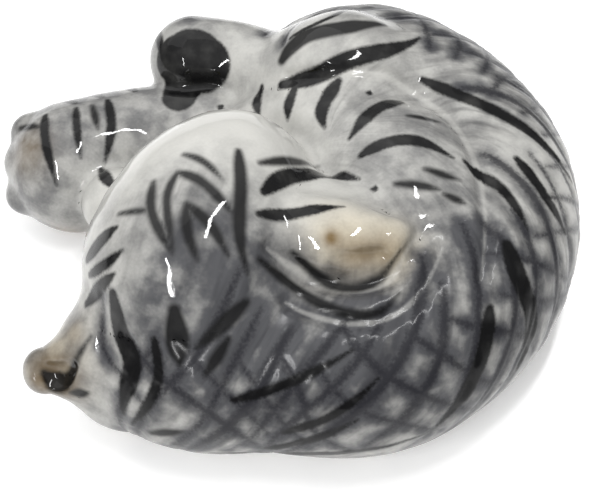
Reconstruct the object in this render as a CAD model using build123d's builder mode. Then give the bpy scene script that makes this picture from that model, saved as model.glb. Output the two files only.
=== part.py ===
"""Ceramic cat figurine: a tabby lying curled up on its side, made of luted clay pieces (millimetres).

+Z is up and the table is z = 0. The origin is on the flat base, under the chest.
The spine makes a C that is open to -X: the head lies at the front left and the hind feet at the back left.
Every piece is cut by the pieces it is luted to, so neighbours meet face to face.
"""

import os
from math import cos, radians, sin

from build123d import *

# ---- sizes the whole figurine follows ----
body_radius = 10.2
head_radius = 12.2
leg_radius = 7.0
paw_radius = 4.6
wall = 3.0
head_wall = 2.6
vent_radius = 1.25
pressed = 0.94  # height of a body section's middle over its radius: the clay is pressed flat underneath
end_angles = (35, 58, 76)  # round end of a limb: angles of its closing sections, in degrees

# ---- body: the middle line from the neck round to the rump, as x, y and share of body_radius ----
body_line = [
    (-16.3, -12.0, 0.75),
    (-10.5, -13.2, 0.90),
    (-2.5, -13.2, 0.94),
    (6.5, -13.2, 0.99),
    (14.0, -8.2, 1.03),
    (19.1, 0.4, 1.03),
    (19.6, 11.0, 1.01),
    (14.3, 19.2, 1.03),
    (5.5, 23.2, 1.01),
    (-1.0, 21.8, 0.83),
]
belly_line = [  # x, y, z and radius: the table cuts away its lower half
    (-5.0, 2.5, 0.0, 9.5),
    (4.0, 4.5, 0.0, 13.0),
    (11.0, 7.0, 0.0, 11.0),
]
base_vent = (6.5, -13.2)
neck_middle = (-10.5, -13.2, 8.6)

# ---- head: its frame has X to the cat's right, Y along the nose and Z to the crown ----
head_middle = (-9.3, -3.6, 14.3)
head_turn = 10
head_pitch = 30
head_roll = 17
head_line = [  # x, y, z and radius, from the back of the skull to the muzzle
    (-0.6, -1.8, 0.0, head_radius),
    (1.4, 4.0, -1.0, 0.87 * head_radius),
    (1.8, 7.4, -2.8, 0.58 * head_radius),
]
cheeks = [  # x, y, z and radius, the left one first
    (0.4, 6.2, -2.6, 0.52 * head_radius),
    (3.6, 6.4, -2.4, 0.60 * head_radius),
]

# ---- ears: each was pulled out by hand, so each has its own line of x, y, z and radius ----
left_ear_line = [
    (-15.5, -9.0, 11.7, 4.6),
    (-19.0, -12.4, 10.3, 4.3),
    (-22.6, -14.3, 9.3, 3.5),
    (-25.0, -14.8, 9.0, 2.4),
]
left_ear_hollow_line = [
    (-25.1, -16.1, 11.3, 0.9),
    (-23.6, -16.7, 10.9, 1.5),
    (-21.9, -16.6, 12.2, 1.0),
]
right_ear_line = [
    (-3.0, -4.2, 17.2, 5.2),
    (2.5, -6.2, 18.9, 4.5),
    (6.2, -7.1, 19.6, 3.7),
    (8.6, -7.5, 19.9, 2.8),
]
right_ear_hollow_line = [(4.4, -10.2, 21.4, 0.9), (7.6, -9.9, 21.4, 1.0)]

# ---- legs and tail: the middle line of each, as x, y, z and radius ----
upper_foreleg_line = [
    (7.0, -7.5, 10.5, 1.07 * leg_radius),
    (10.2, -2.0, 12.3, 1.30 * leg_radius),
    (10.4, 4.2, 12.7, 1.36 * leg_radius),
    (7.4, 9.0, 13.2, 1.19 * leg_radius),
    (1.5, 14.3, 13.2, 1.30 * paw_radius),
    (-6.0, 13.8, 10.5, 1.04 * paw_radius),
]
lower_foreleg_line = [
    (-4.0, 3.0, 6.0, paw_radius),
    (-13.0, 6.0, 8.0, paw_radius),
    (-19.8, 6.6, 9.4, 0.87 * paw_radius),
]
upper_hind_leg_line = [
    (12.0, 17.0, 13.5, 0.97 * leg_radius),
    (5.0, 19.5, 14.5, 1.23 * leg_radius),
    (-3.0, 22.6, 13.2, 0.80 * leg_radius),
    (-7.5, 24.6, 13.5, 1.04 * paw_radius),
    (-12.1, 25.2, 13.2, 1.13 * paw_radius),
]
lower_hind_leg_line = [
    (-10.0, 18.0, 7.2, leg_radius),
    (-19.0, 17.0, 7.0, leg_radius),
    (-25.6, 14.0, 7.2, 1.10 * leg_radius),
]
tail_line = [
    (3.0, 28.5, 5.0, 3.6),
    (-7.0, 28.5, 3.8, 3.3),
    (-13.5, 26.5, 3.2, 3.0),
    (-19.0, 24.2, 2.6, 2.4),
]


def limb(stations):
    """Round sections lofted along a smooth line through the stations, closed by round ends."""
    line = Spline(*[(x, y, z) for x, y, z, radius in stations])
    first_radius = stations[0][3]
    last_radius = stations[-1][3]
    sections = []
    for angle in reversed(end_angles):
        place = line @ 0 - (line % 0) * first_radius * sin(radians(angle))
        sections.append((place, line % 0, first_radius * cos(radians(angle))))
    for x, y, z, radius in stations:
        heading = line % line.param_at_point((x, y, z))
        sections.append((Vector(x, y, z), heading, radius))
    for angle in end_angles:
        place = line @ 1 + (line % 1) * last_radius * sin(radians(angle))
        sections.append((place, line % 1, last_radius * cos(radians(angle))))
    return loft([Plane(place, x_dir=(0, 0, 1), z_dir=heading) * Circle(radius) for place, heading, radius in sections])


def thinner(stations, amount):
    """The same stations with every radius made smaller by the amount."""
    return [(x, y, z, radius - amount) for x, y, z, radius in stations]


def above_table(shape):
    """The part of a shape that is higher than the table."""
    return split(shape, bisect_by=Plane.XY, keep=Keep.TOP)


def ear_shape(line, hollow_line):
    """A blunt ear with a small hollow near its tip."""
    return limb(line) - limb(hollow_line)


# ---- full shapes, before neighbours are cut out of one another ----
body_stations = [(x, y, body_radius * share * pressed, body_radius * share) for x, y, share in body_line]
torso_skin = above_table(limb(body_stations) + limb(belly_line))
torso_core = limb(thinner(body_stations, wall))

head_frame = Pos(*head_middle) * Rot(Z=head_turn) * Rot(X=head_pitch) * Rot(Y=-head_roll)
head_skin = head_frame * limb(head_line)
head_core = head_frame * limb(thinner(head_line, head_wall))
for x, y, z, radius in cheeks:
    head_skin += head_frame * Pos(x, y, z) * Sphere(radius)
left_ear_skin = ear_shape(left_ear_line, left_ear_hollow_line)
right_ear_skin = ear_shape(right_ear_line, right_ear_hollow_line)

upper_foreleg_skin = limb(upper_foreleg_line)
lower_foreleg_skin = limb(lower_foreleg_line)
upper_hind_leg_skin = limb(upper_hind_leg_line)
lower_hind_leg_skin = above_table(limb(lower_hind_leg_line))
tail_skin = above_table(limb(tail_line))

os.makedirs("parts", exist_ok=True)

# ---- torso: hollow, with one vent in the base and one through the neck into the head ----
neck_to_head = Vector(head_middle) - Vector(neck_middle)

with BuildPart() as torso:
    add(torso_skin)
    add(torso_core, mode=Mode.SUBTRACT)
    with Locations((*base_vent, 0)):
        Cylinder(vent_radius, 4 * wall, mode=Mode.SUBTRACT)
    with BuildSketch(Plane(neck_middle, z_dir=neck_to_head)):
        Circle(vent_radius)
    extrude(amount=neck_to_head.length, mode=Mode.SUBTRACT)
torso.part.label = "torso"
export_step(torso.part, "parts/torso.step")

# ---- head: a hollow cup that sits open side down on the neck and belly ----
with BuildPart() as head:
    add(head_skin)
    add(head_core, mode=Mode.SUBTRACT)
    add(torso_skin, mode=Mode.SUBTRACT)
head.part.label = "head"
export_step(head.part, "parts/head.step")

# ---- ears ----
with BuildPart() as left_ear:
    add(left_ear_skin)
    add(head_skin, mode=Mode.SUBTRACT)
    add(torso_skin, mode=Mode.SUBTRACT)
left_ear.part.label = "left_ear"
export_step(left_ear.part, "parts/left_ear.step")

with BuildPart() as right_ear:
    add(right_ear_skin)
    add(head_skin, mode=Mode.SUBTRACT)
    add(torso_skin, mode=Mode.SUBTRACT)
    add(upper_foreleg_skin, mode=Mode.SUBTRACT)
right_ear.part.label = "right_ear"
export_step(right_ear.part, "parts/right_ear.step")

# ---- forelegs ----
with BuildPart() as upper_foreleg:
    add(upper_foreleg_skin)
    add(torso_skin, mode=Mode.SUBTRACT)
    add(head_skin, mode=Mode.SUBTRACT)
upper_foreleg.part.label = "upper_foreleg"
export_step(upper_foreleg.part, "parts/upper_foreleg.step")

with BuildPart() as lower_foreleg:
    add(lower_foreleg_skin)
    add(torso_skin, mode=Mode.SUBTRACT)
    add(head_skin, mode=Mode.SUBTRACT)
    add(upper_foreleg_skin, mode=Mode.SUBTRACT)
    add(lower_hind_leg_skin, mode=Mode.SUBTRACT)
lower_foreleg.part.label = "lower_foreleg"
export_step(lower_foreleg.part, "parts/lower_foreleg.step")

# ---- hind legs ----
with BuildPart() as lower_hind_leg:
    add(lower_hind_leg_skin)
    add(torso_skin, mode=Mode.SUBTRACT)
    add(upper_foreleg_skin, mode=Mode.SUBTRACT)
lower_hind_leg.part.label = "lower_hind_leg"
export_step(lower_hind_leg.part, "parts/lower_hind_leg.step")

with BuildPart() as upper_hind_leg:
    add(upper_hind_leg_skin)
    add(torso_skin, mode=Mode.SUBTRACT)
    add(upper_foreleg_skin, mode=Mode.SUBTRACT)
    add(lower_hind_leg_skin, mode=Mode.SUBTRACT)
upper_hind_leg.part.label = "upper_hind_leg"
export_step(upper_hind_leg.part, "parts/upper_hind_leg.step")

# ---- tail ----
with BuildPart() as tail:
    add(tail_skin)
    add(torso_skin, mode=Mode.SUBTRACT)
    add(upper_hind_leg_skin, mode=Mode.SUBTRACT)
    add(lower_hind_leg_skin, mode=Mode.SUBTRACT)
tail.part.label = "tail"
export_step(tail.part, "parts/tail.step")
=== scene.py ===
"""Ceramic tabby cat curled up on its side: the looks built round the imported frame.

The clay is one smooth skin. The distances to the limbs are blended, a grid is sampled round the skin,
and the skin is cut into one closed piece for each frame node. Sizes of shape and paint are millimetres
in the frame's axes, and turn into metres where the meshes are made.
"""

import math

import bpy
import numpy as np
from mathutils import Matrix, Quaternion, Vector


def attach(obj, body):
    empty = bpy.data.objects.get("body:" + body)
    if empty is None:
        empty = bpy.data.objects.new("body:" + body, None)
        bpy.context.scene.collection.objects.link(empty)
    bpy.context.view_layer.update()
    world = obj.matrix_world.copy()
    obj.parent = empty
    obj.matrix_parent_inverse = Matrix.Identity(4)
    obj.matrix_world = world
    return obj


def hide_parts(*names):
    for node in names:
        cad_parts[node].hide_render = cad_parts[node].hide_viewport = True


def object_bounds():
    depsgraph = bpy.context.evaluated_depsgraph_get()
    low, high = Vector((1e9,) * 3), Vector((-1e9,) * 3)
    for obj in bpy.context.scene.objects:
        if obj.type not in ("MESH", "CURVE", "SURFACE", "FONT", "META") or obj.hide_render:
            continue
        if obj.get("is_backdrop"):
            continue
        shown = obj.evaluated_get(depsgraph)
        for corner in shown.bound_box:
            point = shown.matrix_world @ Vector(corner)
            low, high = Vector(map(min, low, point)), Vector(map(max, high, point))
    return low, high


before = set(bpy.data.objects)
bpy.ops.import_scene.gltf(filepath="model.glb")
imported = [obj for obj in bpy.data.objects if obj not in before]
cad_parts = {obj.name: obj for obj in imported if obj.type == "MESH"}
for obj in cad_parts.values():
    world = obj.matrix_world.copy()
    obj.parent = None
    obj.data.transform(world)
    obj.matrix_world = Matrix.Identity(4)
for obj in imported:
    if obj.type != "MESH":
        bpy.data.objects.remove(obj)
cad_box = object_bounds()

# ======================= shape =======================

BODY_LINE = [  # x, y, z and radius from the neck to the rump
    (-16.3, -12.0, 7.2, 7.7),
    (-10.5, -13.2, 8.6, 9.2),
    (-2.5, -13.2, 9.2, 9.6),
    (6.5, -13.2, 9.5, 10.1),
    (14.0, -8.2, 9.8, 10.5),
    (19.1, 0.4, 9.8, 10.5),
    (19.6, 11.0, 9.7, 10.3),
    (14.3, 19.2, 9.9, 10.5),
    (5.5, 23.2, 9.7, 10.3),
    (-1.0, 21.8, 8.0, 8.5),
]
BELLY_LINE = [(-5.0, 2.5, 0.0, 9.5), (4.0, 4.5, 0.0, 13.0), (11.0, 7.0, 0.0, 11.0)]
UPPER_FORELEG_LINE = [
    (7.0, -7.5, 10.5, 7.5),
    (10.2, -2.0, 12.3, 9.1),
    (10.4, 4.2, 12.7, 9.5),
    (7.4, 9.0, 13.2, 8.3),
    (1.5, 14.3, 13.2, 6.0),
    (-6.0, 13.8, 10.5, 4.8),
]
LOWER_FORELEG_LINE = [(-4.0, 3.0, 6.0, 4.6), (-13.0, 6.0, 8.0, 4.6), (-19.8, 6.6, 9.4, 4.0)]
UPPER_HIND_LEG_LINE = [
    (12.0, 17.0, 13.5, 6.8),
    (5.0, 19.5, 14.5, 8.6),
    (-3.0, 22.6, 13.2, 5.6),
    (-7.5, 24.6, 13.5, 4.8),
    (-12.1, 25.2, 13.2, 5.2),
]
LOWER_HIND_LEG_LINE = [(-10.0, 18.0, 7.2, 7.0), (-19.0, 17.0, 7.0, 7.0), (-25.6, 14.0, 7.2, 7.6)]
TOES = [(-30.6, 16.4, 10.4, 2.2), (-31.1, 13.4, 8.6, 2.3), (-31.2, 11.2, 5.6, 2.3)]
SOLE_DISH = (-14.5, 17.6, 22.6, 6.2)
TAIL_LINE = [
    (3.0, 28.5, 5.0, 3.6),
    (-7.0, 28.5, 3.8, 3.3),
    (-13.5, 26.5, 3.2, 3.0),
    (-19.0, 24.2, 2.6, 2.4),
]

# The head's own axes are X to the cat's right, Y along the nose and Z to the crown.
HEAD_MIDDLE = np.array([-9.3, -3.6, 14.3])
HEAD_TURN, HEAD_PITCH, HEAD_ROLL = 10, 30, 17
HEAD_BALLS = [  # skull, brow and the two cheeks
    (-0.6, -1.8, 0.0, 12.2),
    (1.6, 3.6, -0.8, 9.8),
    (0.4, 6.2, -2.6, 6.2),
    (3.6, 6.4, -2.4, 7.2),
]
MUZZLE_BALLS = [(0.0, 11.0, -4.6, 3.2), (3.2, 11.0, -4.6, 3.3), (1.6, 10.4, -7.4, 2.4)]
NOSE = (1.6, 14.0, -2.9, 0.8)

# The ears were pulled out of the clay by hand, so each has its own lines.
LEFT_EAR_LINE = [
    (-15.5, -9.0, 11.7, 4.6),
    (-19.0, -12.4, 10.3, 4.3),
    (-22.6, -14.3, 9.3, 3.5),
    (-25.0, -14.8, 9.0, 2.4),
]
LEFT_EAR_PIT = [(-25.1, -16.1, 11.3, 0.9), (-23.6, -16.7, 10.9, 1.5), (-21.9, -16.6, 12.2, 1.0)]
RIGHT_EAR_LINE = [
    (-3.0, -4.2, 17.2, 5.2),
    (2.5, -6.2, 18.9, 4.5),
    (6.2, -7.1, 19.6, 3.7),
    (8.6, -7.5, 19.9, 2.8),
]
RIGHT_EAR_FRONT = [(-1.0, 0.0, 16.8, 4.5), (5.5, -3.2, 18.4, 2.8)]
RIGHT_EAR_PIT = [(4.4, -10.6, 21.8, 0.9), (7.6, -10.2, 21.7, 1.0)]

# Widths over which neighbouring shapes run into each other, or an edge is rounded off.
LIMB_BLEND = 1.1
NECK_BLEND = 3.0
CHEEK_BLEND = 3.0
MUZZLE_BLEND = 1.4
NOSE_BLEND = 0.6
EAR_FRONT_BLEND = 1.5
TOE_BLEND = 0.9
PIT_EDGE = 0.6
DISH_EDGE = 0.8
FOOT_EDGE = 0.7
PART_BLENDS = {
    "head": NECK_BLEND,
    "left_ear": 2.0,
    "right_ear": 1.4,
    "upper_foreleg": 2.4,
    "lower_foreleg": 0.5,
}  # the other parts have LIMB_BLEND

LUMP_SIZE, LUMP_DEPTH = 1.7, 0.10  # unevenness left by the fingers
NEAR = 4.5  # parts further off than this don't shape the skin
SEEDS_PER_GAP = 8  # places tried between two rows of a line, before the search for the nearest place
NEAREST_ROUNDS = 3  # Newton steps of that search
LEAST_PULL = 0.4  # keeps those steps short on the inside of a tight bend
CHUNK = 20000  # points handled at once where a table of all of them would be large
OUTSIDE_SKIN = 1.6  # radii away from a line's middle, safely outside its own skin


def smooth_union(first, second, width):
    """The smaller of two distances, rounded off where they are nearly equal."""
    share = np.clip(0.5 + 0.5 * (second - first) / width, 0, 1)
    return second + (first - second) * share - width * share * (1 - share)


def smooth_cut(first, second, width):
    """The larger of two distances, rounded off where they are nearly equal."""
    return -smooth_union(-first, -second, width)


def turned_axes(turn, pitch, roll):
    """Columns are the axes of a head that is turned to its left, pitched up and rolled right side up."""
    turn, pitch, roll = np.radians([turn, pitch, roll])
    nose = np.array([-np.sin(turn) * np.cos(pitch), np.cos(turn) * np.cos(pitch), np.sin(pitch)])
    level = np.array([np.cos(turn), np.sin(turn), 0.0])
    right = level * np.cos(roll) + np.cross(level, nose) * np.sin(roll)
    return np.stack([right, nose, np.cross(right, nose)], axis=1)


class Line:
    """A smooth line with a thickness: each row is a place, in two or three numbers, and a radius."""

    def __init__(self, rows):
        self.rows = np.array(rows, float)
        gaps = np.linalg.norm(np.diff(self.rows[:, :-1], axis=0), axis=1)
        self.knots = np.concatenate([[0.0], np.cumsum(gaps)])
        self.length = self.knots[-1]
        self.cubics = self.natural_cubics(gaps)
        self.coarse = np.linspace(0, self.length, SEEDS_PER_GAP * len(gaps) + 1)

    def natural_cubics(self, gaps):
        """Coefficients of the smooth curve through the rows, one cubic for each gap."""
        count = len(self.rows)
        matrix, right = np.eye(count), np.zeros_like(self.rows)
        for i in range(1, count - 1):
            matrix[i, i - 1 : i + 2] = gaps[i - 1], 2 * (gaps[i - 1] + gaps[i]), gaps[i]
            step = np.diff(self.rows[i - 1 : i + 2], axis=0) / gaps[i - 1 : i + 1, None]
            right[i] = 6 * (step[1] - step[0])
        bend = np.linalg.solve(matrix, right)
        width = gaps[:, None]
        slope = np.diff(self.rows, axis=0) / width - width * (2 * bend[:-1] + bend[1:]) / 6
        return self.rows[:-1], slope, bend[:-1] / 2, np.diff(bend, axis=0) / (6 * width)

    def at(self, place):
        """Rows at places along the line, with their first and second derivatives."""
        gap = np.clip(np.searchsorted(self.knots, place, side="right") - 1, 0, len(self.knots) - 2)
        u = (place - self.knots[gap])[:, None]
        a, b, c, d = (part[gap] for part in self.cubics)
        return a + u * (b + u * (c + u * d)), b + u * (2 * c + 3 * u * d), 2 * c + 6 * u * d

    def nearest(self, points):
        """Places along the line that are closest to the points."""
        seeds = self.at(self.coarse)[0][:, :-1]
        place = np.empty(len(points))
        for chunk in np.array_split(np.arange(len(points)), len(points) // CHUNK + 1):
            square = (seeds**2).sum(axis=1) - 2 * points[chunk] @ seeds.T
            place[chunk] = self.coarse[np.argmin(square, axis=1)]
        for _ in range(NEAREST_ROUNDS):
            row, slope, bend = self.at(place)
            away = row[:, :-1] - points
            speed = (slope[:, :-1] ** 2).sum(axis=1)
            change = (away * slope[:, :-1]).sum(axis=1)
            pull = speed + (away * bend[:, :-1]).sum(axis=1)
            place = np.clip(place - change / np.maximum(pull, LEAST_PULL * speed), 0, self.length)
        return place

    def distance(self, points):
        row = self.at(self.nearest(points))[0]
        return np.linalg.norm(points - row[:, :-1], axis=1) - row[:, -1]

    def upright(self, place):
        """Rows at places along the line, with the directions there to the top of its skin and to its side."""
        row, slope, _ = self.at(place)
        tangent = slope[:, :3] / np.linalg.norm(slope[:, :3], axis=1, keepdims=True)
        top = np.array([0, 0, 1.0]) - tangent[:, 2:] * tangent
        top /= np.linalg.norm(top, axis=1, keepdims=True)
        return row, top, np.cross(tangent, top)

    def chart(self, points):
        """Place along the line, and millimetres round its skin from the top, for each point."""
        place = self.nearest(points)
        row, top, side = self.upright(place)
        away = points - row[:, :3]
        angle = np.arctan2((away * side).sum(axis=1), (away * top).sum(axis=1))
        return place, angle * row[:, 3]

    def around(self, flat):
        """Points outside the skin for rows of the chart's two numbers, and the way in from them."""
        row, top, side = self.upright(flat[:, 0])
        angle = (flat[:, 1] / row[:, 3])[:, None]
        outward = np.cos(angle) * top + np.sin(angle) * side
        return row[:, :3] + OUTSIDE_SKIN * row[:, 3:] * outward, -outward


def ball(points, row):
    """Distance to a ball given as x, y, z and radius."""
    return np.linalg.norm(points - np.array(row[:3]), axis=1) - row[3]


body, belly = Line(BODY_LINE), Line(BELLY_LINE)
upper_foreleg, lower_foreleg = Line(UPPER_FORELEG_LINE), Line(LOWER_FORELEG_LINE)
upper_hind_leg, lower_hind_leg = Line(UPPER_HIND_LEG_LINE), Line(LOWER_HIND_LEG_LINE)
tail = Line(TAIL_LINE)
head_axes = turned_axes(HEAD_TURN, HEAD_PITCH, HEAD_ROLL)
left_ear, left_ear_pit = Line(LEFT_EAR_LINE), Line(LEFT_EAR_PIT)
right_ear, right_ear_front, right_ear_pit = Line(RIGHT_EAR_LINE), Line(RIGHT_EAR_FRONT), Line(RIGHT_EAR_PIT)


def in_head(points):
    return (points - HEAD_MIDDLE) @ head_axes


def torso_distance(points):
    return smooth_union(body.distance(points), belly.distance(points), NECK_BLEND)


def head_distance(points):
    local = in_head(points)
    distance = ball(local, HEAD_BALLS[0])
    for part in HEAD_BALLS[1:]:
        distance = smooth_union(distance, ball(local, part), CHEEK_BLEND)
    for part in MUZZLE_BALLS:
        distance = smooth_union(distance, ball(local, part), MUZZLE_BLEND)
    return smooth_union(distance, ball(local, NOSE), NOSE_BLEND)


def left_ear_distance(points):
    return smooth_cut(left_ear.distance(points), -left_ear_pit.distance(points), PIT_EDGE)


def right_ear_distance(points):
    outside = smooth_union(right_ear.distance(points), right_ear_front.distance(points), EAR_FRONT_BLEND)
    return smooth_cut(outside, -right_ear_pit.distance(points), PIT_EDGE)


def upper_hind_leg_distance(points):
    """The leg that ends in an upturned foot with a shallow dish for its sole."""
    return smooth_cut(upper_hind_leg.distance(points), -ball(points, SOLE_DISH), DISH_EDGE)


def lower_hind_leg_distance(points):
    distance = lower_hind_leg.distance(points)
    for toe in TOES:
        distance = smooth_union(distance, ball(points, toe), TOE_BLEND)
    return distance


PARTS = {
    "torso": torso_distance,
    "head": head_distance,
    "upper_foreleg": upper_foreleg.distance,
    "lower_foreleg": lower_foreleg.distance,
    "upper_hind_leg": upper_hind_leg_distance,
    "lower_hind_leg": lower_hind_leg_distance,
    "tail": tail.distance,
    "left_ear": left_ear_distance,
    "right_ear": right_ear_distance,
}


def part_distances(points, hints=None):
    """One column of distances for each part. Hints are near guesses, and far parts keep theirs."""
    columns = np.zeros((len(points), len(PARTS))) if hints is None else hints.copy()
    for index, distance in enumerate(PARTS.values()):
        near = columns[:, index] < NEAR
        columns[near, index] = distance(points[near])
    return columns


def skin_distance(points, columns):
    """Distance to the whole figurine: the parts softly blended, slightly lumpy, and flat underneath."""
    whole = columns[:, 0]
    for name, column in list(zip(PARTS, columns.T))[1:]:
        whole = smooth_union(whole, column, PART_BLENDS.get(name, LIMB_BLEND))
    x, y, z = points.T / LUMP_SIZE
    lumps = np.sin(x + 1.3 * np.sin(y)) * np.sin(y + 0.9 * np.sin(z)) * np.cos(z + 0.7 * np.sin(x))
    return smooth_cut(whole + LUMP_DEPTH * lumps, -points[:, 2], FOOT_EDGE)


# ======================= meshes =======================

MILLIMETRE = 0.001
STEP = 0.3  # spacing of the sampling grid
BLOCK = 3  # fine steps in one coarse step
COARSE_REACH = 2.2 * math.sqrt(3) * STEP  # from a coarse point past the far corner of its fine cells
GRID_LOW = np.array([-36.0, -27.0, -2.0])
GRID_HIGH = np.array([33.0, 36.5, 28.5])
OUTSIDE = -1  # label of the air round the figurine
NO_LENGTH = 1e-9  # stands in for the length of a normal that no face has a share in
SLOPE_SPAN = 0.02  # length over which slopes are measured
SKIN_ROUNDS = 2  # Newton steps that take a point onto the skin
FLATTEST = 0.25  # least square of a slope, so that a flat place doesn't throw a point far off
JOIN_WEIGHT = 1e-6  # a crossing inside the clay hardly counts next to one on the skin
RELIEF_REACH = 1.4  # the relief of the skin fades out over this depth inside the joins
FOLDED = 0.7  # a face is folded over if its direction agrees less than this with the slope of the skin


def grid_points(index):
    return GRID_LOW + STEP * index


def sample_grid():
    """Labels on the whole fine grid, and rows of exact distances where the skin or a join is near."""
    counts = np.ceil((GRID_HIGH - GRID_LOW) / (STEP * BLOCK)).astype(int) + 1
    coarse = np.indices(counts).reshape(3, -1).T
    columns = part_distances(grid_points(BLOCK * coarse))
    skin = skin_distance(grid_points(BLOCK * coarse), columns)
    closest = np.sort(columns, axis=1)
    near_join = (skin < COARSE_REACH) & (closest[:, 1] - closest[:, 0] < 2 * COARSE_REACH)
    wanted = (np.abs(skin) < COARSE_REACH) | near_join
    labels = np.where(skin < 0, columns.argmin(axis=1), OUTSIDE).reshape(counts)
    for axis in range(3):
        labels = labels.repeat(BLOCK, axis=axis)
    offsets = np.indices((BLOCK,) * 3).reshape(3, -1).T
    fine = (BLOCK * coarse[wanted][:, None] + offsets[None]).reshape(-1, 3)
    points = grid_points(fine - BLOCK // 2)
    columns = part_distances(points, columns[wanted].repeat(len(offsets), axis=0))
    skin = skin_distance(points, columns)
    labels[tuple(fine.T)] = np.where(skin < 0, columns.argmin(axis=1), OUTSIDE)
    rows = np.full(labels.shape, -1)
    rows[tuple(fine.T)] = np.arange(len(fine))
    return labels, rows, columns, skin


def slope_of_skin(points, hints):
    """Slope of the skin distance at the points."""
    slope = np.empty_like(points)
    for axis, step in enumerate(SLOPE_SPAN * np.eye(3)):
        above = skin_distance(points + step, part_distances(points + step, hints))
        below = skin_distance(points - step, part_distances(points - step, hints))
        slope[:, axis] = (above - below) / (2 * SLOPE_SPAN)
    return slope


def crossings(axis, vertex, labels, rows, columns, skin):
    """Every change of label along one axis: its place, the ring of four cells round it, and both labels."""
    unit, second, third = np.roll(np.eye(3, dtype=int), -axis, axis=0)
    start = np.argwhere(np.diff(labels, axis=axis) != 0)
    end = start + unit
    row_a, row_b = rows[tuple(start.T)], rows[tuple(end.T)]
    label_a, label_b = labels[tuple(start.T)], labels[tuple(end.T)]
    outer = (label_a == OUTSIDE) | (label_b == OUTSIDE)
    value_a = np.where(outer, skin[row_a], columns[row_a, label_a] - columns[row_a, label_b])
    value_b = np.where(outer, skin[row_b], columns[row_b, label_a] - columns[row_b, label_b])
    share = np.clip(value_a / (value_a - value_b), 0, 1)[:, None]
    cells = [start - second - third, start - third, start, start - second]
    ring = np.stack([vertex[tuple(cell.T)] for cell in cells], axis=1)
    return grid_points(start + share * unit - BLOCK // 2), ring, label_a, label_b


def onto_skin(points, hints, movable):
    """Moves the movable points onto the skin, and gives the direction of its slope at all of them."""
    slope = slope_of_skin(points, hints)
    steepness = np.maximum((slope**2).sum(axis=1), FLATTEST)
    move = np.zeros((len(slope), 1))
    for _ in range(SKIN_ROUNDS):
        here = points - slope * move
        distance = skin_distance(here, part_distances(here, hints)) / steepness
        move = np.clip(move + distance[:, None], -STEP / 2, STEP / 2)
    return points - slope * move * movable[:, None], slope / np.linalg.norm(slope, axis=1, keepdims=True)


def build_nets():
    """Points, normals, depths and quads, each of which parts two grid points with different labels.

    There is one point in each grid cell whose corners differ, so neighbouring pieces share their rims.
    """
    labels, rows, columns, skin = sample_grid()
    x, y, z = np.array(labels.shape) - 1
    corners = [labels[i : i + x, j : j + y, k : k + z] for i, j, k in np.ndindex(2, 2, 2)]
    mixed = np.minimum.reduce(corners) != np.maximum.reduce(corners)
    count = mixed.sum()
    vertex = np.full(mixed.shape, -1)
    vertex[mixed] = np.arange(count)
    total = np.zeros((count, 3))
    weight = np.zeros(count)
    on_skin = np.zeros(count, bool)
    quads = []
    for axis in range(3):
        place, ring, below, above = crossings(axis, vertex, labels, rows, columns, skin)
        outer = (below == OUTSIDE) | (above == OUTSIDE)
        importance = np.where(outer, 1.0, JOIN_WEIGHT)
        for column in ring.T:
            np.add.at(total, column, place * importance[:, None])
            np.add.at(weight, column, importance)
            on_skin[column[outer]] = True
        quads.append((ring, below, above))
    points = total / weight[:, None]
    cell_rows = rows[tuple(np.argwhere(mixed).T)]
    depth = np.where(on_skin, 0.0, -skin[cell_rows])
    shallow = depth < RELIEF_REACH
    normals = np.zeros_like(points)
    hints = columns[cell_rows][shallow]
    points[shallow], normals[shallow] = onto_skin(points[shallow], hints, on_skin[shallow])
    return points, normals, depth, quads


def skin_normals(points, quads):
    """Normals of the whole skin from its faces, so that no shading shows where two pieces meet."""
    normals = np.zeros_like(points)
    for ring, below, above in quads:
        for own, other, turn in ((below, above, 1), (above, below, -1)):
            faces = ring[(own != OUTSIDE) & (other == OUTSIDE)]
            first, second, third, fourth = points[faces.T]
            across = np.cross(third - first, fourth - second)
            for column in faces.T:
                np.add.at(normals, column, turn * across)
    length = np.linalg.norm(normals, axis=1, keepdims=True)
    return normals / np.maximum(length, NO_LENGTH)


def piece_mesh(name, faces, points, normals, paint):
    """One closed piece, with its paint kept as numbers on its points."""
    used, faces = np.unique(faces, return_inverse=True)
    mesh = bpy.data.meshes.new(name)
    mesh.from_pydata((points[used] * MILLIMETRE).tolist(), [], faces.reshape(-1, 4).tolist())
    for label, values in paint.items():
        layer = mesh.attributes.new(label, "FLOAT", "POINT")
        layer.data.foreach_set("value", values[used].astype(np.float32))
    mesh.shade_smooth()
    mesh.normals_split_custom_set_from_vertices(normals[used].tolist())
    piece = bpy.data.objects.new(name + "_clay", mesh)
    bpy.context.scene.collection.objects.link(piece)
    return piece


# ======================= paint =======================
# Each mark is a smooth line drawn on a chart of the figurine, and then let down onto its skin.
# A row of a mark is two chart numbers and the width of the brush stroke there.
# A limb's own chart has the place along its line, and the millimetres round its skin from the top:
# outwards on the body, and towards the back on the tail and the legs.

ABOVE_FIGURINE = 34.0  # charts seen from one side start this far out, in millimetres
ABOVE_HEAD = 20.0
BEFORE_FACE = 22.0
LET_DOWN_ROUNDS = 45
LET_DOWN_SHARE = 0.9  # of the distance left, so that a point doesn't pass through the skin
MARK_SPACING = 1.2
FAR = 2.5  # marks further away than this don't matter


def from_above(flat):
    """Chart of x and y in the frame, seen from above."""
    start = np.column_stack([flat, np.full(len(flat), ABOVE_FIGURINE)])
    return start, np.broadcast_to([0, 0, -1.0], start.shape)


def from_crown(flat):
    """Chart of the head's own x and y, seen from above its crown."""
    local = np.column_stack([flat, np.full(len(flat), ABOVE_HEAD)])
    start = HEAD_MIDDLE + local @ head_axes.T
    return start, np.broadcast_to(-head_axes[:, 2], start.shape)


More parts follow.
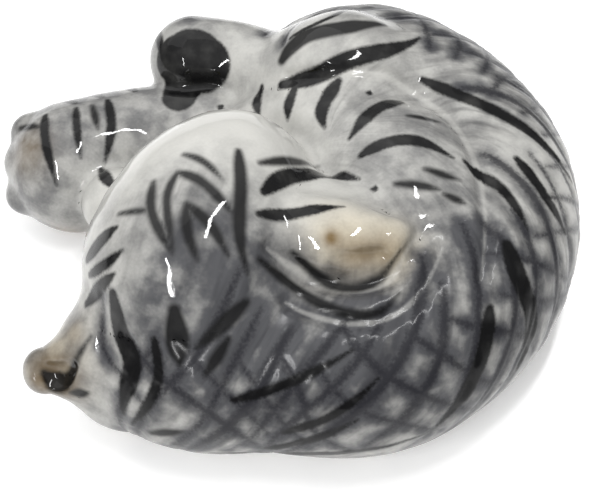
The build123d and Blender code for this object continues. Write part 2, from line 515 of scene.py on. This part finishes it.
def from_front(flat):
    """Chart of the head's own x and z, seen from in front of its face."""
    local = np.column_stack([flat[:, 0], np.full(len(flat), BEFORE_FACE), flat[:, 1]])
    start = HEAD_MIDDLE + local @ head_axes.T
    return start, np.broadcast_to(-head_axes[:, 1], start.shape)


def let_down(start, way_in):
    """Moves points along their way in until they meet the skin."""
    here = start.copy()
    for _ in range(LET_DOWN_ROUNDS):
        here += way_in * skin_distance(here, part_distances(here))[:, None] * LET_DOWN_SHARE
    return here


def drawn(rows, tapered):
    """Close places along a mark on its chart, with half the stroke's width there."""
    flat = Line(rows)
    place = np.linspace(0, flat.length, max(3, int(flat.length / MARK_SPACING) + 1))
    row = flat.at(place)[0]
    share = place / flat.length
    setting_down = 0.55 + 3.5 * share
    lifting_off = 0.2 + 2.4 * (1 - share)
    pressed = np.minimum(1, np.minimum(setting_down, lifting_off))
    row[:, 2] *= 0.5 * (pressed if tapered else 1)
    return row


def brush_marks(chart, marks, tapered=True):
    """Lets marks down onto the skin: each becomes a line whose radius is half the brush width."""
    rows = [drawn(mark, tapered) for mark in marks]
    ends = np.cumsum([len(row) for row in rows])
    on_skin = np.split(let_down(*chart(np.concatenate(rows)[:, :2])), ends[:-1])
    return [Line(np.column_stack([place, row[:, 2]])) for place, row in zip(on_skin, rows)]


def evenly(width, *places):
    """Rows of a mark that has one width along its length."""
    return [(x, y, width) for x, y in places]


HEAD_MARKS = [
    evenly(1.8, (8.4, 3.4), (10.2, 4.9), (12.6, 5.4), (16.6, 4.2)),
    evenly(1.3, (7.8, 1.2), (10.3, 0.9), (12.4, 1.0), (15.4, 0.9)),
    evenly(1.7, (-10.0, 0.0), (-7.8, 1.2), (-5.5, 2.1)),
    evenly(1.2, (-9.8, -1.6), (-7.3, -1.2), (-5.0, -0.3)),
    evenly(1.5, (-10.8, -4.2), (-8.8, -3.3), (-6.2, -2.3)),
]
FOREHEAD_MARKS = [  # thin soft lines like the letter M
    evenly(1.0, (-1.6, 5.8), (-1.8, 3.6), (-1.1, 1.0), (0.0, -1.6)),
    evenly(0.6, (-5.4, 3.4), (-3.5, 3.2), (-1.7, 2.9)),
    evenly(0.9, (0.9, 6.3), (0.0, 4.6), (-0.1, 1.8), (0.1, -1.2)),
    evenly(1.0, (0.9, 6.3), (2.6, 5.4), (4.4, 3.4), (5.8, 1.2)),
    evenly(0.8, (1.4, 8.2), (3.0, 7.3), (4.9, 5.0)),
    evenly(1.0, (1.7, 2.9), (1.6, 0.8), (2.2, -2.6)),
    evenly(1.0, (1.7, 2.9), (3.4, 1.0), (4.9, -2.6)),
    evenly(1.3, (6.4, 7.8), (6.5, 3.7), (6.1, -0.3), (6.2, -4.4)),
    evenly(1.0, (8.2, 6.4), (10.3, 6.7), (12.2, 6.9)),
]
TOP_MARKS = [
    evenly(1.1, (-8.8, 16.9), (-8.4, 16.7)),
    evenly(1.1, (-4.0, 17.2), (-4.5, 15.3), (-4.2, 13.0)),
    evenly(1.2, (-0.1, 15.0), (-0.9, 13.4), (-1.1, 11.4)),
    evenly(1.7, (4.2, 13.8), (3.2, 12.3), (2.5, 10.5), (2.8, 8.2)),
    evenly(1.0, (7.4, 12.4), (7.8, 12.3)),
    evenly(1.6, (10.9, 11.5), (8.0, 9.3), (6.4, 7.3), (5.2, 5.7)),
    evenly(1.6, (6.4, 3.1), (8.8, 4.0), (12.3, 4.2), (15.6, 2.8)),
    evenly(1.0, (7.4, -1.4), (7.8, -1.5)),
    evenly(2.0, (-1.8, 15.8), (2.3, 14.9), (5.0, 15.6), (9.3, 17.2), (13.4, 21.0)),
    evenly(0.8, (-0.9, 20.7), (3.5, 22.3), (6.5, 27.0)),
    evenly(0.7, (-0.9, 26.0), (3.5, 28.2)),
    evenly(1.1, (-28.2, 15.5), (-27.7, 11.7), (-26.4, 7.6)),
    evenly(0.9, (-24.8, 16.4), (-24.3, 13.0), (-23.7, 9.8)),
    evenly(1.1, (-21.5, 18.0), (-20.7, 13.6), (-21.3, 10.0)),
    evenly(1.3, (-21.6, 9.2), (-20.6, 6.8), (-19.6, 5.4)),
]
TAIL_MARKS = [evenly(1.2, (u, 0.5), (u + 0.8, 4.8)) for u in (3.0, 7.0, 11.0, 14.5, 18.0)]
FAR_LEG_MARKS = [evenly(1.2, (u, 3.0), (u + 0.6, 6.0), (u, 9.0)) for u in (4.5, 8.0, 11.5, 14.5)]
SOLE_MARKS = [
    [(-13.6, 21.6, 6.4), (-12.2, 21.6, 7.4), (-10.9, 21.2, 6.6)],
    [(-13.0, 20.2, 5.0), (-13.4, 18.4, 4.0)],
]
BODY_MARKS = [
    evenly(2.1, (2.0, 0.6), (2.6, 3.2), (3.4, 5.2), (2.7, 8.5), (1.9, 11.0)),
    evenly(1.1, (5.3, 3.6), (5.5, 6.5), (4.6, 9.5), (2.4, 12.5)),
    evenly(1.5, (60.5, -3.5), (54.5, -1.0), (50.2, 3.3), (48.7, 6.0), (47.0, 10.5)),
    evenly(1.2, (43.7, -2.6), (42.2, 0.2), (39.0, 5.4)),
    evenly(1.4, (45.8, 2.4), (43.1, 6.0), (41.8, 10.2)),
    evenly(2.2, (36.4, 4.4), (35.0, 7.5), (34.4, 10.6), (32.0, 16.0)),
    evenly(1.7, (31.4, 7.2), (28.4, 11.8), (25.6, 15.8)),
    evenly(1.0, (10.6, 9.6), (16.0, 8.2), (21.5, 5.0)),
    evenly(1.0, (16.0, 13.8), (19.5, 11.6), (22.8, 8.0)),
    evenly(1.0, (13.6, 17.0), (17.5, 15.2), (21.4, 12.0)),
    evenly(1.2, (8.0, 18.5), (14.0, 19.0), (21.0, 17.0), (25.0, 16.5)),
]
SOFT_TOP_MARKS_AND_SHADE = [
    evenly(2.3, (-1.7, 18.2), (-0.3, 19.4), (3.5, 19.8), (9.5, 21.5)),
    evenly(0.9, (11.4, 8.5), (14.7, 8.5)),
    evenly(0.9, (9.6, -1.2), (14.0, -1.6)),
    evenly(0.9, (12.6, 0.6), (16.1, 0.0)),
    evenly(0.9, (14.4, -2.1), (16.4, -2.9)),
    evenly(1.0, (-31.2, 15.1), (-28.5, 13.6)),
    evenly(0.8, (-23.1, 17.0), (-22.1, 13.3)),
    # painted shade: two soft dark arcs under the right ear, below its overhanging lower edge
    evenly(1.0, (-3.6, -10.9), (-0.2, -12.2), (3.4, -14.5), (7.6, -14.8), (9.5, -13.0)),
    evenly(0.9, (-0.5, -9.4), (1.8, -10.9), (5.5, -11.9), (8.5, -10.6), (9.7, -9.4)),
    evenly(2.2, (-11.4, -15.2), (-11.2, -17.1), (-11.0, -18.8)),
    evenly(1.2, (-22.1, -17.8), (-20.3, -18.1)),
    # partly painted shade: besides the ear's own dark paint, this black deepens the pit and crease of the
    # left ear
    [  # the dark inside of the left ear
        (-25.0, -15.8, 1.2),
        (-23.6, -16.5, 2.2),
        (-22.2, -16.6, 1.6),
        (-21.3, -15.9, 0.9),
        (-19.9, -14.4, 0.6),
    ],
]
SOFT_BODY_MARKS = [
    evenly(1.4, (12.2, 1.0), (8.2, 4.4)),
    evenly(1.1, (10.6, 3.8), (8.6, 7.0)),
    evenly(1.1, (4.0, 13.5), (6.6, 13.1)),
]
SHOULDER_FOLD = [
    (-1.0, 15.9),
    (5.0, 14.4),
    (11.0, 14.3),
    (14.6, 12.0),
    (16.9, 8.0),
    (18.2, 2.5),
    (18.4, -4.5),
    (17.6, -11.0),
]
# along the middle of each fold the glaze is also tinted pale as a painted highlight
FOLDS = [  # the skin is pressed in along these lines: round the shoulder, and twice below the right ear
    evenly(0.6, *SHOULDER_FOLD),
    evenly(0.6, (-2.6, -9.6), (0.6, -10.8), (4.0, -12.0), (7.2, -12.0), (10.0, -10.0), (11.6, -7.0)),
    evenly(0.5, (-1.0, -13.6), (3.6, -15.6), (8.4, -15.4), (12.0, -12.0), (13.8, -8.0)),
]
FACE_MARKS = [  # the far side of the head: eyelids, mouth and nostrils
    evenly(0.5, (-5.4, -1.6), (-3.6, -0.4), (-1.7, -1.7)),
    evenly(0.5, (-5.4, -1.6), (-3.6, -2.8), (-1.7, -1.7)),
    evenly(0.5, (4.7, -1.7), (6.6, -0.4), (8.4, -1.6)),
    evenly(0.5, (4.7, -1.7), (6.6, -2.8), (8.4, -1.6)),
    evenly(0.4, (1.5, -3.8), (1.5, -5.6)),
    evenly(0.4, (1.5, -5.6), (0.4, -6.5), (-0.9, -6.3)),
    evenly(0.4, (1.5, -5.6), (2.6, -6.5), (3.9, -6.3)),
]
EYES = [evenly(1.6, (-4.3, -1.6), (-2.8, -1.7)), evenly(1.6, (5.8, -1.7), (7.3, -1.6))]
PUPILS = [evenly(0.6, (-3.55, -1.2), (-3.55, -2.1)), evenly(0.6, (6.55, -1.2), (6.55, -2.1))]
WHISKER_DOTS = [evenly(0.35, (x, z), (x + 0.1, z)) for x in (-1.6, -0.6, 3.5, 4.5) for z in (-4.3, -5.1)]


NET_START, NET_END, NET_SPACING = 3.0, 76.0, 3.4  # places along the body line
NET_LIMITS = (0.5, 78.5)  # no mark of the net goes past these places
NET_MIDDLE = 8.0  # the two families of marks cross this many millimetres round from the top
NET_WANDER = 0.5  # how far a mark strays from a straight stroke
NET_SEED = 5


def net_marks():
    """Slanted marks over the whole back, crossed by thinner ones, which leave pale cells between them."""
    chance = np.random.default_rng(NET_SEED)
    marks = []
    for start in np.arange(NET_START, NET_END, NET_SPACING):
        low = chance.uniform(-1.0, 5.0)
        high = chance.uniform(14.0, 21.0)
        slant = chance.uniform(-0.8, -0.5)
        marks.append((start, low, high, slant, chance.uniform(0.5, 1.1)))
        low = chance.uniform(0.0, 7.0)
        high = low + chance.uniform(9.0, 14.0)
        slant = chance.uniform(0.4, 0.8)
        marks.append((start, low, high, slant, chance.uniform(0.4, 0.8)))
    rows = []
    for start, low, high, slant, width in marks:
        around = np.linspace(low, high, 4)
        stray = chance.uniform(-NET_WANDER, NET_WANDER, len(around))
        along = start + slant * (around - NET_MIDDLE) + stray
        rows.append(evenly(width, *zip(np.clip(along, *NET_LIMITS), around)))
    return rows


def nearest_mark(points, marks):
    """Millimetres to the edge of the nearest mark, less than nothing inside it."""
    nearest = np.full(len(points), FAR)
    for mark in marks:
        reach = FAR + mark.rows[:, 3].max()
        low, high = mark.rows[:, :3].min(axis=0) - reach, mark.rows[:, :3].max(axis=0) + reach
        close = np.flatnonzero(((points > low) & (points < high)).all(axis=1))
        if len(close):
            nearest[close] = np.minimum(nearest[close], mark.distance(points[close]))
    return nearest


def soft_patches(points, patches):
    """Sum of soft round patches, each given as x, y, z, radius and strength."""
    total = np.zeros(len(points))
    for x, y, z, radius, strength in patches:
        away = np.linalg.norm(points - (x, y, z), axis=1)
        total += strength * np.exp(-((away / radius) ** 2))
    return total


FOLD_DEPTH, FOLD_WIDTH = 0.55, 0.7
NET_DEPTH, NET_WIDTH = 0.10, 0.4
PART_SOFTNESS = 1.2  # millimetres over which the paint of one part runs into the next part's
NOSE_PAINT = 0.5  # the pink reaches this far from the nose, fading all the way
FOOT_TOP, FOOT_FADE = 1.6, 1.2  # the glaze is wiped off below this height, over this much of it

WASH_OF_PART = {  # how strong the grey wash under the marks is
    "torso": 0.84,
    "head": 0.68,
    "upper_foreleg": 0.90,
    "lower_foreleg": 0.40,
    "upper_hind_leg": 0.66,
    "lower_hind_leg": 1.02,
    "tail": 0.70,
    "left_ear": 1.00,
    "right_ear": 0.38,
}
FUR_OF_PART = {  # how strongly the brushed fur shows
    "torso": 1.0,
    "head": 0.8,
    "upper_foreleg": 0.35,
    "lower_foreleg": 0.0,
    "upper_hind_leg": 0.5,
    "lower_hind_leg": 0.3,
    "tail": 0.3,
    "left_ear": 0.3,
    "right_ear": 0.2,
}
FUR_FADE = 8.0  # the brushed fur fades over this length at the two ends of the body line
MOST_WASH = 1.3

# Soft round patches of paint, and one of painted shade: x, y, z, radius and strength.
WASH_AND_SHADE_PATCHES = [
    (-6.0, 7.5, 21.0, 8.5, -0.78),  # white forehead, cheeks and chin
    (-13.0, 3.5, 20.0, 5.0, -0.35),
    (-16.5, 0.0, 22.0, 4.0, -0.32),
    (-17.0, -21.0, 11.0, 5.5, -0.08),
    (-10.0, -9.0, 25.0, 5.0, 0.32),  # greyer top of the head
    (-6.0, -13.0, 21.0, 6.0, 0.90),  # dark back of the head
    (-11.0, -16.0, 19.0, 5.0, 0.52),
    # painted shade: a darker wash below the right ear
    (3.0, -14.8, 18.0, 5.5, 0.80),
    (8.0, -16.0, 18.0, 8.0, 0.20),  # dark shoulders
    (15.0, -7.0, 21.0, 4.5, 0.30),
    (27.0, 5.0, 15.0, 9.0, -0.42),  # paler flank
    (-13.0, 27.5, 17.0, 4.0, 0.50),  # grey rim of the upturned foot
]
TAN_PATCHES = [
    (5.4, -9.6, 21.6, 1.7, 0.70),  # right ear
    (8.4, -9.2, 21.2, 1.5, 0.60),
    (3.1, -8.7, 22.6, 0.8, 1.0),
    (-29.9, 11.3, 12.9, 2.6, 0.50),  # stretched hind foot
    (-26.5, 6.8, 3.0, 2.2, 0.8),
    (-23.9, -17.0, 10.9, 2.4, 0.9),  # left ear
    (-21.2, -13.5, 13.5, 1.0, 0.6),
]
CREAM_PATCHES = [
    (-24.0, -14.5, 12.0, 4.0, 0.7),
    (4.0, -8.6, 21.5, 3.6, 0.8),
    (9.0, -8.6, 21.0, 3.0, 0.8),
]


def run_together(points):
    """How much each part counts at each point, softly changing from one part to the next."""
    nearness = np.exp(-part_distances(points) / PART_SOFTNESS)
    return nearness / nearness.sum(axis=1, keepdims=True)


def of_parts(values):
    """The values of the parts, in the order of the columns of distances."""
    return np.array([values[name] for name in PARTS])


def ink_marks():
    """The black strokes of the whole figurine."""
    marks = brush_marks(from_crown, HEAD_MARKS) + brush_marks(from_above, TOP_MARKS)
    marks += brush_marks(from_above, SOLE_MARKS, tapered=False) + brush_marks(body.around, BODY_MARKS)
    marks += brush_marks(tail.around, TAIL_MARKS) + brush_marks(lower_hind_leg.around, FAR_LEG_MARKS)
    return marks + brush_marks(from_front, FACE_MARKS + PUPILS + WHISKER_DOTS)


def soft_marks():
    """The strokes whose edges have run in the glaze, and soft painted shade under the right ear and in the
    hollow of the left ear.
    """
    marks = brush_marks(from_crown, FOREHEAD_MARKS) + brush_marks(from_above, SOFT_TOP_MARKS_AND_SHADE)
    return marks + brush_marks(body.around, SOFT_BODY_MARKS)


def paint_layers(points):
    """Every layer of paint, painted shade included, as one number for each point."""
    along, around = body.chart(points)
    from_ends = np.minimum(along, body.length - along)
    shares = run_together(points)
    wash = shares @ of_parts(WASH_OF_PART) + soft_patches(points, WASH_AND_SHADE_PATCHES)
    fur = shares @ of_parts(FUR_OF_PART) * np.clip(from_ends / FUR_FADE, 0, 1)
    return {
        "ink": nearest_mark(points, ink_marks()),
        "soft": nearest_mark(points, soft_marks()),
        "net": nearest_mark(points, brush_marks(body.around, net_marks())),
        "fold": nearest_mark(points, brush_marks(from_above, FOLDS)),
        "iris": nearest_mark(points, brush_marks(from_front, EYES, tapered=False)),
        "wash": np.clip(wash, 0, MOST_WASH),
        "fur": fur,
        "tan": np.clip(soft_patches(points, TAN_PATCHES), 0, 1),
        "cream": np.clip(soft_patches(points, CREAM_PATCHES), 0, 1),
        "nose": np.clip(1 - ball(in_head(points), NOSE) / NOSE_PAINT, 0, 1),
        "bare": np.clip((FOOT_TOP - points[:, 2]) / FOOT_FADE, 0, 1),
        "along": along,
        "around": around,
    }


def relief(paint):
    """Millimetres that the skin is raised: it is pressed in along the folds and, less, along the net."""
    folds = FOLD_DEPTH * np.exp(-((paint["fold"] / FOLD_WIDTH) ** 2))
    net = NET_DEPTH * np.exp(-((paint["net"] / NET_WIDTH) ** 2))
    return -folds - net


# ======================= glaze =======================


def srgb(red, green, blue):
    """A colour written as on screen, from 0 to 255, turned into light."""
    values = [v / 255 for v in (red, green, blue)]
    return [v / 12.92 if v < 0.04 else ((v + 0.055) / 1.055) ** 2.4 for v in values] + [1.0]


WHITE = srgb(194, 193, 188)
CREAM = srgb(200, 188, 162)
BLUE_GREY = srgb(54, 55, 60)
TAN = srgb(104, 84, 52)
INK = srgb(5, 5, 6)
SMOKE = srgb(30, 30, 35)
BARE_CLAY = srgb(120, 98, 76)
NOSE_PINK = srgb(172, 130, 120)
IRIS = srgb(168, 160, 70)


class Shader:
    """A material's nodes, with short calls for the ones it needs."""

    def __init__(self, name):
        self.material = bpy.data.materials.new(name)
        self.material.use_nodes = True
        self.tree = self.material.node_tree
        self.surface = self.tree.nodes["Principled BSDF"]
        self.place = self.add("ShaderNodeTexCoord").outputs["Object"]

    def put(self, socket, value):
        """Sets a socket to a number or colour, or links another node's output to it."""
        if isinstance(value, bpy.types.NodeSocket):
            self.tree.links.new(value, socket)
        else:
            socket.default_value = value

    def add(self, kind, **settings):
        node = self.tree.nodes.new(kind)
        for key, value in settings.items():
            setattr(node, key, value)
        return node

    def layer(self, name):
        return self.add("ShaderNodeAttribute", attribute_name=name).outputs["Fac"]

    def noise(self, size, detail=3.0):
        """Noise from 0 to 1 with features of about that many millimetres."""
        node = self.add("ShaderNodeTexNoise")
        self.put(node.inputs["Vector"], self.place)
        self.put(node.inputs["Scale"], 1 / (size * MILLIMETRE))
        self.put(node.inputs["Detail"], detail)
        return node.outputs["Fac"]

    def sum(self, first, second, times=1.0):
        """first + second * times"""
        node = self.add("ShaderNodeMath", operation="MULTIPLY_ADD")
        for socket, value in zip(node.inputs, (second, times, first)):
            self.put(socket, value)
        return node.outputs[0]

    def times(self, first, second):
        node = self.add("ShaderNodeMath", operation="MULTIPLY")
        self.put(node.inputs[0], first)
        self.put(node.inputs[1], second)
        return node.outputs[0]

    def ramp(self, value, start, end, low=0.0, high=1.0):
        """Goes softly from low, where the value is start, to high, where it is end."""
        node = self.add("ShaderNodeMapRange", interpolation_type="SMOOTHSTEP")
        for socket, number in zip(node.inputs, (value, start, end, low, high)):
            self.put(socket, number)
        return node.outputs["Result"]

    def mix(self, share, first, second):
        node = self.add("ShaderNodeMix", data_type="RGBA")
        self.put(node.inputs["Factor"], share)
        self.put(node.inputs[6], first)
        self.put(node.inputs[7], second)
        return node.outputs[2]


FUR_SLANT = 0.62  # millimetres that the fur's streaks run along the body for each one round it


def fur_streaks(shader, width, length):
    """Noise drawn out along the slant of the brush marks on the back."""
    across = shader.sum(shader.layer("along"), shader.layer("around"), FUR_SLANT)
    place = shader.add("ShaderNodeCombineXYZ")
    shader.put(place.inputs["X"], shader.times(across, 1 / width))
    shader.put(place.inputs["Y"], shader.times(shader.layer("around"), 1 / length))
    noise = shader.add("ShaderNodeTexNoise")
    shader.put(noise.inputs["Vector"], place.outputs["Vector"])
    shader.put(noise.inputs["Scale"], 1.0)
    shader.put(noise.inputs["Detail"], 2.0)
    return noise.outputs["Fac"]


def washed_clay(shader, uneven, ragged):
    """White and cream clay under the mottled grey wash, which is thinner in the cells of the net."""
    cell = shader.ramp(shader.layer("net"), 0.1, 1.5, 1.15, 0.74)
    wash = shader.times(shader.times(shader.layer("wash"), cell), uneven)
    wash = shader.ramp(shader.sum(wash, ragged, 0.16), 0.0, 1.15, 0.0, 0.94)
    clay = shader.mix(shader.layer("cream"), WHITE, CREAM)
    return shader.mix(wash, clay, BLUE_GREY)


def brushed_fur(shader, colour):
    """Broad and fine dark streaks over the parts whose wash is strong."""
    furry = shader.times(shader.layer("fur"), shader.ramp(shader.layer("wash"), 0.55, 0.72))
    broad = shader.ramp(fur_streaks(shader, 2.2, 7.0), 0.42, 0.70, 0.0, 0.45)
    fine = shader.ramp(fur_streaks(shader, 0.9, 4.0), 0.45, 0.75, 0.0, 0.40)
    colour = shader.mix(shader.times(broad, furry), colour, SMOKE)
    return shader.mix(shader.times(fine, furry), colour, SMOKE)


def tinted(shader, colour, uneven):
    """Painted highlight as pale lines along the folds, tan on the ears and toes, and the colours of the face.
    """
    # painted highlight: the middle of each fold is tinted pale
    colour = shader.mix(shader.ramp(shader.layer("fold"), 0.20, -0.20, 0.0, 0.28), colour, WHITE)
    colour = shader.mix(shader.times(shader.layer("tan"), uneven), colour, TAN)
    colour = shader.mix(shader.layer("nose"), colour, NOSE_PINK)
    return shader.mix(shader.ramp(shader.layer("iris"), 0.05, -0.05), colour, IRIS)


def stroked(shader, layer, ragged, raggedness, start, full, strength=1.0):
    """Share of a layer's paint, from its start outside the edge of a mark to full strength inside it."""
    edge = shader.sum(shader.layer(layer), ragged, raggedness)
    return shader.ramp(edge, start, full, 0.0, strength)


def brush_painted(shader, colour, cloud, ragged):
    """The net in grey, the marks that have run along with soft painted shade, and the black marks, which are
    a little streaky.
    """
    colour = shader.mix(stroked(shader, "net", ragged, 0.8, 0.45, -0.35, 0.85), colour, SMOKE)
    # the soft layer holds real runny strokes and also painted shade under the right ear and in the left ear's
    # hollow
    colour = shader.mix(stroked(shader, "soft", ragged, 0.15, 0.38, -0.32, 0.96), colour, INK)
    streaky = shader.ramp(cloud, 0.25, 0.60, 0.94, 1.0)
    ink = shader.times(stroked(shader, "ink", ragged, 0.30, 0.26, -0.24), streaky)
    return shader.mix(ink, colour, INK)


def rippled(shader, grain):
    """Normals of the slightly uneven glaze."""
    bump = shader.add("ShaderNodeBump")
    shader.put(bump.inputs["Height"], shader.sum(shader.noise(3.4, 1.0), grain, 0.05))
    shader.put(bump.inputs["Strength"], 0.5)
    shader.put(bump.inputs["Distance"], 0.12 * MILLIMETRE)
    return bump.outputs["Normal"]


def painted_glaze(name, gloss, roughness):
    """Clear glaze over painted white clay, with a bare foot: gloss is the weight of its clear coat."""
    shader = Shader(name)
    cloud = shader.noise(2.6)
    grain = shader.noise(0.32, 2.0)
    uneven = shader.ramp(cloud, 0.30, 0.70, 0.76, 1.20)
    ragged = shader.sum(-0.5, grain)
    bare = shader.ramp(shader.sum(shader.layer("bare"), ragged, 0.5), 0.45, 0.75)

    colour = washed_clay(shader, uneven, ragged)
    colour = brushed_fur(shader, colour)
    colour = tinted(shader, colour, uneven)
    colour = brush_painted(shader, colour, cloud, ragged)
    colour = shader.mix(bare, colour, BARE_CLAY)

    surface = shader.surface.inputs
    normal = rippled(shader, grain)
    shader.put(surface["Base Color"], colour)
    shader.put(surface["Roughness"], shader.ramp(bare, 0.0, 1.0, 0.45, 0.85))
    shader.put(surface["Specular IOR Level"], 0.05)
    shader.put(surface["Coat Weight"], shader.ramp(bare, 0.0, 1.0, gloss, 0.0))
    shader.put(surface["Coat Roughness"], roughness)
    shader.put(surface["Coat IOR"], 1.34)
    shader.put(surface["Normal"], normal)
    shader.put(surface["Coat Normal"], normal)
    return shader.material


# ======================= pieces =======================

SLOT_OF_PART = {  # the record's material slot of each part
    "torso": "body_glaze",
    "head": "head_glaze",
    "upper_foreleg": "leg_glaze",
    "lower_foreleg": "leg_glaze",
    "upper_hind_leg": "leg_glaze",
    "lower_hind_leg": "leg_glaze",
    "tail": "body_glaze",
    "left_ear": "ear_glaze",
    "right_ear": "ear_glaze",
}

GLAZE_FINISH = {  # weight of the clear coat and its roughness: the body is the least shiny
    "body_glaze": (0.55, 0.20),
    "head_glaze": (1.0, 0.03),
    "leg_glaze": (1.0, 0.03),
    "ear_glaze": (1.0, 0.03),
}

points, normals, depth, quads = build_nets()
shallow = depth < RELIEF_REACH
layers = paint_layers(points[shallow])
paint = {label: np.zeros(len(points)) for label in layers}
for label, values in layers.items():
    paint[label][shallow] = values

raised = relief(layers) * (1 - depth[shallow] / RELIEF_REACH)
points[shallow] += normals[shallow] * raised[:, None]
points[:, 2] = np.maximum(points[:, 2], 0)
smooth = skin_normals(points, quads)
folded = ((smooth * normals).sum(axis=1) < FOLDED) & (depth == 0)
normals = np.where(folded[:, None], normals, smooth)

glazes = {slot: painted_glaze(slot, *finish) for slot, finish in GLAZE_FINISH.items()}
for index, name in enumerate(PARTS):
    own = [ring[below == index] for ring, below, above in quads]
    own += [ring[above == index][:, ::-1] for ring, below, above in quads]
    piece = piece_mesh(name, np.concatenate(own), points, normals, paint)
    slot = SLOT_OF_PART[name]
    piece.data.materials.append(glazes[slot])
    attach(piece, "root")
    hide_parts(name)

# ======================= studio =======================


def plain_paper(name, colour, roughness, glow):
    """Matt paper with the faintest clouds, that glows a little so that it stays pale."""
    shader = Shader(name)
    surface = shader.surface.inputs
    tone = shader.ramp(shader.noise(40.0), 0.3, 0.7, 0.98, 1.0)
    shader.put(surface["Base Color"], shader.mix(tone, srgb(0, 0, 0), colour))
    shader.put(surface["Roughness"], roughness)
    shader.put(surface["Emission Color"], colour)
    shader.put(surface["Emission Strength"], glow)
    return shader.material


def lamp(name, place, target, size, power, spin=0):
    """A rectangular lamp at a place, facing a target, and spun round its own axis by some degrees."""
    light = bpy.data.lights.new(name, "AREA")
    light.shape = "RECTANGLE"
    light.size, light.size_y = [side * MILLIMETRE for side in size]
    light.energy = power
    holder = bpy.data.objects.new(name, light)
    holder.location = Vector(place) * MILLIMETRE
    facing = (Vector(place) - Vector(target)).to_track_quat("Z", "Y")
    holder.rotation_euler = (facing @ Quaternion((0, 0, 1), math.radians(spin))).to_euler()
    bpy.context.scene.collection.objects.link(holder)


FLOOR_SIDE = 3000
bpy.ops.mesh.primitive_plane_add(size=FLOOR_SIDE * MILLIMETRE)
floor = bpy.context.object
floor.name = "floor"
floor.data.materials.append(plain_paper("floor_paper", srgb(252, 252, 252), 0.9, 0.18))
floor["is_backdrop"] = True

HORIZON_LIGHT, OVERHEAD_LIGHT = 0.12, 0.92
world = bpy.data.worlds.new("studio")
world.use_nodes = True
sky = world.node_tree.nodes
height = sky.new("ShaderNodeSeparateXYZ")
fade = sky.new("ShaderNodeMapRange")
world.node_tree.links.new(sky.new("ShaderNodeTexCoord").outputs["Generated"], height.inputs[0])
world.node_tree.links.new(height.outputs["Z"], fade.inputs["Value"])
world.node_tree.links.new(fade.outputs["Result"], sky["Background"].inputs["Strength"])
sky["Background"].inputs["Color"].default_value = (1, 1, 1, 1)
fade.inputs["To Min"].default_value, fade.inputs["To Max"].default_value = HORIZON_LIGHT, OVERHEAD_LIGHT
bpy.context.scene.world = world

# A broad key lamp gives the soft shadow, and two narrow strips give the white streaks in the glaze.
LIT_PLACE = (0, 2, 10)
lamp("key", (-180, 200, 330), LIT_PLACE, (420, 420), 0.36)
lamp("strip_crown", (28, -4, 200), LIT_PLACE, (100, 10), 0.18, -12)
lamp("strip_front_left", (-138, -195, 207), LIT_PLACE, (10, 130), 0.42, 36)

# The camera looks along +Y and down, close enough that the near side is a little larger.
CAMERA_AIM = np.array([0.0, 0.0, 10.0])
CAMERA_DISTANCE = 130.0
CAMERA_ELEVATION = math.radians(52)
CAMERA_CLIP = 10.0
SEEN_WIDTH = 63.4  # millimetres across the picture at the aim

camera_data = bpy.data.cameras.new("camera")
camera_data.lens = camera_data.sensor_width * CAMERA_DISTANCE / SEEN_WIDTH
camera_data.clip_start = CAMERA_CLIP * MILLIMETRE
camera = bpy.data.objects.new("camera", camera_data)
toward = np.array([0, -math.cos(CAMERA_ELEVATION), math.sin(CAMERA_ELEVATION)])
camera.location = (CAMERA_AIM + CAMERA_DISTANCE * toward) * MILLIMETRE
camera.rotation_euler = (math.pi / 2 - CAMERA_ELEVATION, 0, 0)
bpy.context.scene.collection.objects.link(camera)
bpy.context.scene.camera = camera
bpy.context.scene.view_settings.view_transform = "Standard"

boxes = {"cad": cad_box, "visual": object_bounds()}
{label: [[float(v) for v in corner] for corner in box] for label, box in boxes.items()}
